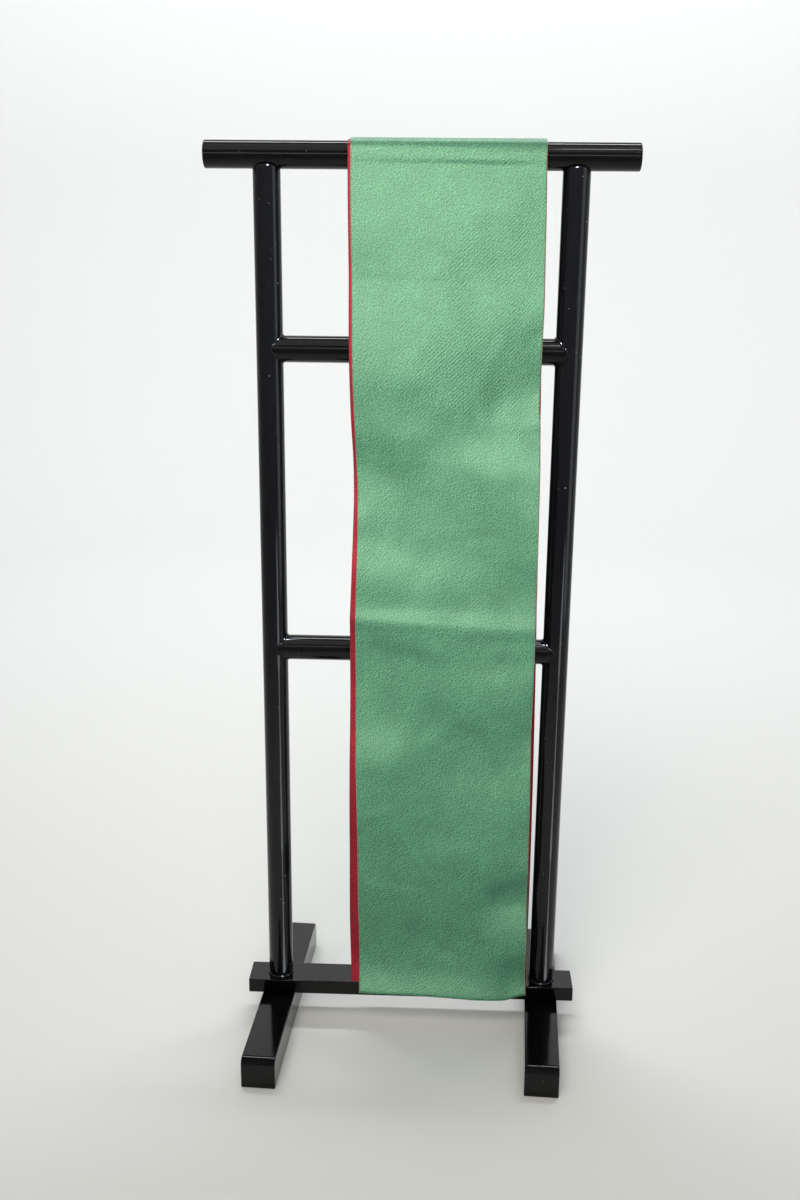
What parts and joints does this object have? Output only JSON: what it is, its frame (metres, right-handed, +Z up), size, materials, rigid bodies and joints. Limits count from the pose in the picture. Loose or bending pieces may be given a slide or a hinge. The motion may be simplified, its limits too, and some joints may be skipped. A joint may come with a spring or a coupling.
{
  "type": "obi on a lacquered stand",
  "caption": "Reversible sash, green outside and red inside, folded in half and hung over the top rail of a slim black lacquered rack with two feet.",
  "frame": {"origin": "on the floor under the middle of the top rail, centre of the feet's footprint", "axes": "+Z up, +X along the rail towards the end where the sash lies nearer its post, -Y towards the front with the sash's two free ends"},
  "size_m": [0.379, 0.2612, 0.8686],
  "materials": {
    "lacquer": "black lacquer, mirror gloss",
    "obi_face": "fine twill weave, soft satin sheen",
    "obi_reverse": "fine twill weave, soft satin sheen"
  },
  "bodies": {
    "root": {"stand_rail": "lacquer", "stand_post_left": "lacquer", "stand_post_right": "lacquer", "stand_bar_upper": "lacquer", "stand_bar_lower": "lacquer", "stand_board": "lacquer", "stand_foot_left": "lacquer", "stand_foot_right": "lacquer", "obi_front_outer": "obi_face", "obi_turn_outer": "obi_face", "obi_back_outer": "obi_face", "obi_back_fold": "obi_face", "obi_back_inner": "obi_reverse", "obi_turn_inner": "obi_reverse", "obi_front_inner": "obi_reverse"}
  },
  "joints": []
}
